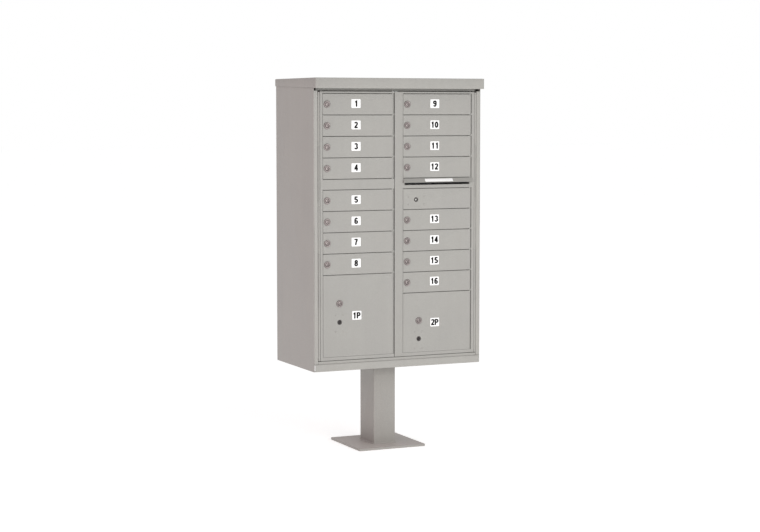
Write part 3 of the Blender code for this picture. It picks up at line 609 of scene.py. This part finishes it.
# Each figure's strokes on their middle lines, 1 high. A stroke that ends where it starts is a ring.
FIGURES = {
    "0": [bow((0.28, 0.5), (0.18, 0.4), 0, 360, 28)],
    "1": [[(0.33, 0), (0.33, 1.0)], [(0.33, 0.87), (0.24, 0.78), (0.12, 0.71)]],
    "2": [
        bow((0.28, 0.70), (0.18, 0.2), 165, -20, 12) + [(0.40, 0.52), (0.10, 0.10)],
        [(0.02, 0.1), (0.54, 0.1)],
    ],
    "3": [
        bow((0.27, 0.715), (0.17, 0.185), 160, -80, 12),
        bow((0.27, 0.305), (0.19, 0.205), 85, -165, 14),
    ],
    "4": [[(0.37, 0), (0.37, 1.0)], [(0.37, 0.93), (0.07, 0.32)], [(0.0, 0.31), (0.56, 0.31)]],
    "5": [
        [(0.12, 0.9), (0.51, 0.9)],
        [(0.17, 0.99), (0.11, 0.48)],
        bow((0.28, 0.32), (0.19, 0.22), 140, -160, 16),
    ],
    "6": [bow((0.28, 0.30), (0.18, 0.2), 0, 360, 24), bow((0.30, 0.5), (0.20, 0.4), 40, 190, 14)],
    "7": [[(0.03, 0.9), (0.53, 0.9)], [(0.46, 0.86), (0.30, 0.5), (0.22, 0.0)]],
    "8": [
        bow((0.28, 0.715), (0.155, 0.185), 0, 360, 22),
        bow((0.28, 0.295), (0.18, 0.195), 0, 360, 24),
    ],
    "9": [bow((0.28, 0.70), (0.18, 0.2), 0, 360, 24), bow((0.26, 0.5), (0.20, 0.4), 220, 370, 14)],
    "P": [
        [(0.10, 0), (0.10, 1.0)],
        [(0.10, 0.9), (0.32, 0.9)] + bow((0.32, 0.68), (0.16, 0.22), 90, -90, 10) + [(0.10, 0.46)],
    ],
}


def stroke_mesh(points, weight, thickness, shift, scale):
    """A flat ribbon solid of even width along a stroke, facing -Y."""
    ring = math.dist(points[0], points[-1]) < 1e-6
    path = [Vector(p) for p in (points[:-1] if ring else points)]
    count = len(path)
    mesh = bmesh.new()
    corners = []
    for i, p in enumerate(path):
        before = path[i - 1] if ring or i else p
        after = path[(i + 1) % count] if ring or i < count - 1 else p
        along = (after - before).normalized()
        across = Vector((-along.y, along.x)) * weight / 2
        row = []
        for side, y in ((1, -thickness), (-1, -thickness), (-1, 0), (1, 0)):
            q = (p + across * side) * scale
            row.append(mesh.verts.new((q.x * NUMERAL_STRETCH + shift, y, q.y)))
        corners.append(row)
    for i in range(count if ring else count - 1):
        row, other = corners[i], corners[(i + 1) % count]
        for k in range(4):
            mesh.faces.new((row[k], row[(k + 1) % 4], other[(k + 1) % 4], other[k]))
    if not ring:
        mesh.faces.new(corners[0])
        mesh.faces.new(corners[-1][::-1])
    return mesh


def figures_data(name, words):
    """Bold figures as one thin mesh facing -Y, centred on the origin."""
    strokes = []
    for place, letter in enumerate(words):
        shift = place * NUMERAL_PITCH * NUMERAL_HEIGHT
        for points in FIGURES[letter]:
            strokes.append(
                stroke_mesh(points, NUMERAL_WEIGHT, NUMERAL_THICKNESS, shift, NUMERAL_HEIGHT)
            )
    data = carved(name, strokes[0], [("UNION", stroke) for stroke in strokes[1:]])
    xs = [v.co.x for v in data.vertices]
    zs = [v.co.z for v in data.vertices]
    data.transform(Matrix.Translation((-(max(xs) + min(xs)) / 2, 0, -(max(zs) + min(zs)) / 2)))
    return data


def add_label(tag, words, centre, body, paints):
    """A white plate on a door with its black number."""
    outline = rounded_outline(*LABEL_SIZE, LABEL_RADIUS)
    plate = to_data(
        f"label_plate_{tag}", prism(outline, -LABEL_THICKNESS - LABEL_GAP, -LABEL_GAP, 0.00015)
    )
    plate.transform(Matrix.Translation(centre))
    link(f"label_plate_{tag}", plate, paints, "label_white", body)
    figures = figures_data(f"label_number_{tag}", words)
    figures.transform(Matrix.Translation(centre - Vector((0, LABEL_THICKNESS - LABEL_GAP, 0))))
    link(f"label_number_{tag}", figures, paints, "number_black", body)


def labels(paints):
    """The number on every tenant door and both parcel doors."""
    for n in range(1, 17):
        low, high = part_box(f"tenant_door_{n:02d}")
        right, up = TENANT_LABEL[COLUMN_OF[n]]
        centre = Vector((low.x + right, CORNER.y, (low.z + high.z) / 2 + up))
        add_label(f"{n:02d}", str(n), centre, f"door_{n:02d}", paints)
    for n, (x, z) in PARCEL_LABEL.items():
        add_label(f"parcel_{n}", f"{n}P", spot(x, 0, z), f"parcel_door_{n}", paints)


# ---------------------------------------------------------------- fasteners and small detail
def dome_data(name, radius, height):
    """A low round head with a hexagon socket."""
    head = lathe(
        [
            (0, -height),
            (radius * 0.55, -height),
            (radius * 0.8, -height * 0.8),
            (radius * 0.95, -height * 0.4),
            (radius, -height * 0.1),
            (radius, -0.00004),
            (0, -0.00004),
        ],
        28,
    )
    socket = prism(hexagon(radius * 0.7), -height * 2, -height * 0.45)
    return carved(name, head, [("DIFFERENCE", socket)])


def screws(paints):
    """Painted screws around the carrier's locks, on the parcel doors and the outgoing panel."""
    dome = dome_data("painted_screw", 0.0037, 0.0011)
    for body, (columns, rows) in SCREW_GROUPS.items():
        for i, x in enumerate(columns):
            for j, z in enumerate(rows):
                name = f"painted_screw_{body}_{i}{j}"
                link(name, at(dome, name, spot(x, 0, z)), paints, "door_paint", body)


def rivets(paints):
    """Blind rivets down the two rear flanges."""
    rivet = dome_data("blind_rivet", 0.0042, 0.0015)
    around = Matrix.Rotation(math.pi, 4, "Z")
    low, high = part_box("side_panel_left")
    back = high.y + 0.00005
    _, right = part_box("side_panel_right")
    for side, x in (("left", low.x + RIVET_INSET), ("right", right.x - RIVET_INSET)):
        for i in range(RIVET_COUNT):
            z = low.z + RIVET_LOWEST + i * (high.z - low.z - RIVET_MARGINS) / (RIVET_COUNT - 1)
            name = f"back_rivet_{side}_{i}"
            link(name, at(rivet, name, (x, back, z), around), paints, "body_paint", "cabinet")


def bolts(paints):
    """Four bolts with washers that hold the pedestal's top plate under the cabinet floor."""
    head = prism(hexagon(0.019), -0.0096, -0.0021, 0.0008)
    rim = [(0.0120, -0.0022), (0.0125, -0.0017), (0.0125, -0.0001)]
    washer = lathe([(0, -0.0022), *rim, (0, -0.0001)], 32)
    bolt = carved("plate_bolt", head, [("UNION", washer)])
    down = Matrix.Rotation(math.pi / 2, 4, "X")
    low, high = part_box("pedestal_column")
    plate_bottom = high.z - TOP_PLATE
    middle = (low + high) / 2
    for i, (dx, dy) in enumerate(SQUARE):
        name = f"plate_bolt_{i}"
        place = (middle.x + dx * BOLT_SPREAD, middle.y + dy * BOLT_SPREAD, plate_bottom)
        link(name, at(bolt, name, place, down), paints, "fastener_steel", "cabinet")


def weld_data(name, middle, z, up):
    """A rippled fillet weld round the column, where it meets a plate."""
    mesh = bmesh.new()
    half_x, half_y = COLUMN_HALF
    path = [Vector(p) for p in rounded_outline(2 * half_x, 2 * half_y, COLUMN_CORNER, 6)]
    dense = []
    for i, p in enumerate(path):
        q = path[(i + 1) % len(path)]
        count = max(1, round((q - p).length / WELD_STEP))
        dense += [p.lerp(q, k / count) for k in range(count)]
    rings = []
    total = len(dense)
    for i, p in enumerate(dense):
        along = (dense[(i + 1) % total] - dense[i - 1]).normalized()
        out = Vector((along.y, -along.x))
        size = WELD_SIZE * (1 + 0.10 * math.sin(i * 2.1) + 0.05 * math.sin(i * 0.37))
        section = [
            (-0.0004, 0.0),
            (size, 0.0),
            (size * 0.72, size * 0.42),
            (size * 0.36, size * 0.78),
            (-0.0004, size),
        ]
        ring = []
        for reach, rise in section:
            x = middle.x + p.x + out.x * reach
            y = middle.y + p.y + out.y * reach
            ring.append(mesh.verts.new((x, y, z + (rise if up else -rise))))
        rings.append(ring)
    for i, ring in enumerate(rings):
        other = rings[(i + 1) % total]
        for k in range(len(ring)):
            m = (k + 1) % len(ring)
            mesh.faces.new((ring[k], ring[m], other[m], other[k]))
    return to_data(name, mesh)


def welds(paints):
    """The beads between the column and its two plates."""
    low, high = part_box("pedestal_column")
    _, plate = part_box("base_plate")
    middle = (low + high) / 2
    for name, z, up in (
        ("weld_bead_base", plate.z + 0.0001, True),
        ("weld_bead_top", high.z - 0.0064, False),
    ):
        link(name, weld_data(name, middle, z, up), paints, "pedestal_paint", "cabinet", 60)


def arrow_lock_face(paints):
    """The carrier's master lock: a recessed plug with its crank, and a collar on the outgoing panel."""
    low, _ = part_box("arrow_lock")
    reach = ARROW_PLUG_RADIUS * FACET_REACH
    centre = Vector((low.x + reach, CORNER.y, low.z + reach))
    plug = lathe(
        [
            (0, 0.0036),
            (0.0030, 0.0036),
            (0.0034, 0.0012),
            (0.0041, 0.0012),
            (0.0043, 0.0036),
            (0.0076, 0.0036),
            (ARROW_PLUG_RADIUS, 0.0040),
            (ARROW_PLUG_RADIUS, CRANK_DEPTH + 0.0012),
            (0, CRANK_DEPTH + 0.0012),
        ]
    )
    offset = CRANK_REACH * math.sin(math.pi / 4)
    across = ARROW_PLUG_RADIUS * 0.8 * math.sin(math.pi / 4)
    outline = [
        (-across, across),
        (across, -across),
        (offset + across, offset - across),
        (offset + across, offset + across * 0.6),
        (offset + across * 0.6, offset + across),
        (offset - across, offset + across),
    ]
    crank = prism(outline, CRANK_DEPTH, CRANK_DEPTH + CRANK_SHEET, 0.0003)
    pin = lathe(
        [
            (0, CRANK_DEPTH + 0.001),
            (PIN_RADIUS, CRANK_DEPTH + 0.001),
            (PIN_RADIUS, 0.0270),
            (0.0026, PIN_END),
            (0, PIN_END),
        ],
        24,
    )
    bmesh.ops.translate(pin, verts=pin.verts, vec=(offset, 0, offset))
    data = carved("arrow_lock_core", plug, [("UNION", crank), ("UNION", pin)])
    data.transform(Matrix.Translation(centre))
    core = link("arrow_lock_core", data, paints, "latch_steel", "arrow_lock")
    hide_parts("arrow_lock")
    # The throat and the collar take the near-black keyhole colour as painted shade round the recessed
    # plug.
    throat = [
        (0.0026, 0.0034),
        (0.0074, 0.0034),
        (0.0079, 0.0030),
        (0.0079, 0.0026),
        (0.0026, 0.0030),
    ]
    collar = [
        (0.0084, 0.0012),
        (0.0084, -0.0001),
        (0.0088, -0.0005),
        (ARROW_COLLAR - 0.0005, -0.0005),
        (ARROW_COLLAR, -0.0001),
        (0.0087, -0.0001),
        (0.0086, 0.0012),
    ]
    for name, profile, body in (
        ("arrow_lock_throat", throat, "arrow_lock"),
        ("arrow_lock_collar", collar, "right_master"),
    ):
        ring = to_data(name, lathe(profile, closed=True))
        ring.transform(Matrix.Translation(centre))
        link(name, ring, paints, "keyhole_dark", body)


def slot_label(paints):
    """A blank white strip on the slope of the mail slot's hood."""
    low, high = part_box("mail_slot_hood")
    slope = Vector((0, high.y - low.y, high.z - low.z))
    length = slope.length
    along = slope.normalized()
    normal = Vector((0, -along.z, along.y))
    outline = rounded_outline(STRIP_WIDTH, length * STRIP_SHARE, LABEL_RADIUS)
    data = to_data("slot_label", prism(outline, -0.0004, -0.00003, 0.00012))
    basis = Matrix((Vector((1, 0, 0)), -normal, along)).transposed().to_4x4()
    start = Vector((CORNER.x + STRIP_MIDDLE, low.y, low.z))
    middle = start + along * (length * STRIP_PLACE)
    data.transform(Matrix.Translation(middle) @ basis)
    link("slot_label", data, paints, "label_white", "right_master")


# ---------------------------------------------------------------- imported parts
def mark_edges(data):
    """Gives a bevel weight to each long sharp edge and keeps the short ones crisp."""
    spots = [tuple(round(c, 6) for c in v.co) for v in data.vertices]
    beside = {}
    for face in data.polygons:
        corners = [spots[i] for i in face.vertices]
        for start, stop in zip(corners, corners[1:] + corners[:1]):
            beside.setdefault(frozenset((start, stop)), []).append(face.normal.copy())
    weights = data.attributes.new("bevel_weight_edge", "FLOAT", "EDGE")
    for edge in data.edges:
        start, stop = (spots[i] for i in edge.vertices)
        normals = beside.get(frozenset((start, stop)), [])
        turn = math.degrees(normals[0].angle(normals[1], 0)) if len(normals) == 2 else 90
        if len(normals) == 2 and turn > FOLD_TURN and math.dist(start, stop) > LONG_EDGE:
            weights.data[edge.index].value = 1.0
        elif turn > CRISP_TURN:
            edge.use_edge_sharp = True


def dress_nodes(paints):
    """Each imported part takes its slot's finish, and its long sharp edges are softened as folds are."""
    slots = {part["node"]: part["material_slot"] for part in frame["record"]["subparts"]}
    for name, node in frame["nodes"].items():
        node.data.materials.clear()
        node.data.materials.append(paints[slots[name]])
        custom = node.data.attributes.get("custom_normal")
        if custom:
            node.data.attributes.remove(custom)
        node.data.shade_smooth()
        mark_edges(node.data)
        weld = node.modifiers.new("join_corners", "WELD")
        weld.merge_threshold = 1e-6
        soften = node.modifiers.new("soft_edges", "BEVEL")
        soften.width = EDGE.get(name, OTHER_EDGE)
        soften.segments = 2
        soften.limit_method = "WEIGHT"
        soften.use_clamp_overlap = False
        soften.harden_normals = True


# ---------------------------------------------------------------- stage, light and camera
def area_light(name, place, target, size, power, colour):
    """A soft rectangular light at a place, facing a target."""
    light = bpy.data.lights.new(name, "AREA")
    light.shape = "RECTANGLE"
    light.size, light.size_y = size
    light.energy = power
    light.color = colour
    obj = bpy.data.objects.new(name, light)
    bpy.context.scene.collection.objects.link(obj)
    obj.location = place
    obj.rotation_euler = (Vector(target) - Vector(place)).to_track_quat("-Z", "Y").to_euler()


def stage():
    """A plain pale floor under a white studio sky, and three soft lights."""
    mesh = bmesh.new()
    mesh.faces.new([mesh.verts.new((x * FLOOR_REACH, y * FLOOR_REACH, 0)) for x, y in SQUARE])
    floor = bpy.data.objects.new("floor", to_data("floor", mesh))
    bpy.context.scene.collection.objects.link(floor)
    pale = bpy.data.materials.new("pale_floor")
    pale.use_nodes = True
    shader = pale.node_tree.nodes["Principled BSDF"]
    shader.inputs["Base Color"].default_value = (0.92, 0.92, 0.92, 1)
    shader.inputs["Roughness"].default_value = 0.9
    shader.inputs["Specular IOR Level"].default_value = 0.1
    shader.inputs["Emission Color"].default_value = (1, 1, 1, 1)
    shader.inputs["Emission Strength"].default_value = 0.45
    floor.data.materials.append(pale)

    world = bpy.data.worlds.new("studio")
    world.use_nodes = True
    tree = world.node_tree
    soft = tree.nodes["Background"]
    soft.inputs["Color"].default_value = (1.0, 1.0, 1.0, 1)
    soft.inputs["Strength"].default_value = 0.60
    white = tree.nodes.new("ShaderNodeBackground")
    white.inputs["Color"].default_value = (1.0, 1.0, 1.0, 1)
    white.inputs["Strength"].default_value = 1.0
    rays = tree.nodes.new("ShaderNodeLightPath")
    mix = tree.nodes.new("ShaderNodeMixShader")
    tree.links.new(rays.outputs["Is Camera Ray"], mix.inputs[0])
    tree.links.new(soft.outputs[0], mix.inputs[1])
    tree.links.new(white.outputs[0], mix.inputs[2])
    tree.links.new(mix.outputs[0], tree.nodes["World Output"].inputs["Surface"])
    bpy.context.scene.world = world
    area_light("key", (1.8, -5.2, 3.0), (0, -0.2, 0.9), (4.0, 3.0), 68, (1.0, 1.0, 0.985))
    area_light("low", (0.1, -2.6, 1.0), (0, 0, 0.0), (1.6, 0.7), 15, (1.0, 0.985, 0.965))
    area_light("side", (-5.0, -0.6, 2.2), (-0.4, 0, 0.9), (2.4, 2.6), 26, (1.0, 0.42, 0.5))


def camera():
    """The camera, at the photograph's viewing angle."""
    data = bpy.data.cameras.new("camera")
    data.sensor_width = 36
    data.lens = CAMERA_LENS
    data.clip_end = 200
    obj = bpy.data.objects.new("camera", data)
    bpy.context.scene.collection.objects.link(obj)
    obj.location = CORNER + CAMERA_AT
    obj.rotation_euler = (math.pi / 2 + CAMERA_PITCH, 0, CAMERA_HEADING)
    bpy.context.scene.camera = obj


bpy.context.scene.view_settings.view_transform = "Standard"
camera()
stage()
paints = make_materials()
dress_nodes(paints)
locks(paints)
labels(paints)
screws(paints)
rivets(paints)
bolts(paints)
welds(paints)
arrow_lock_face(paints)
slot_label(paints)
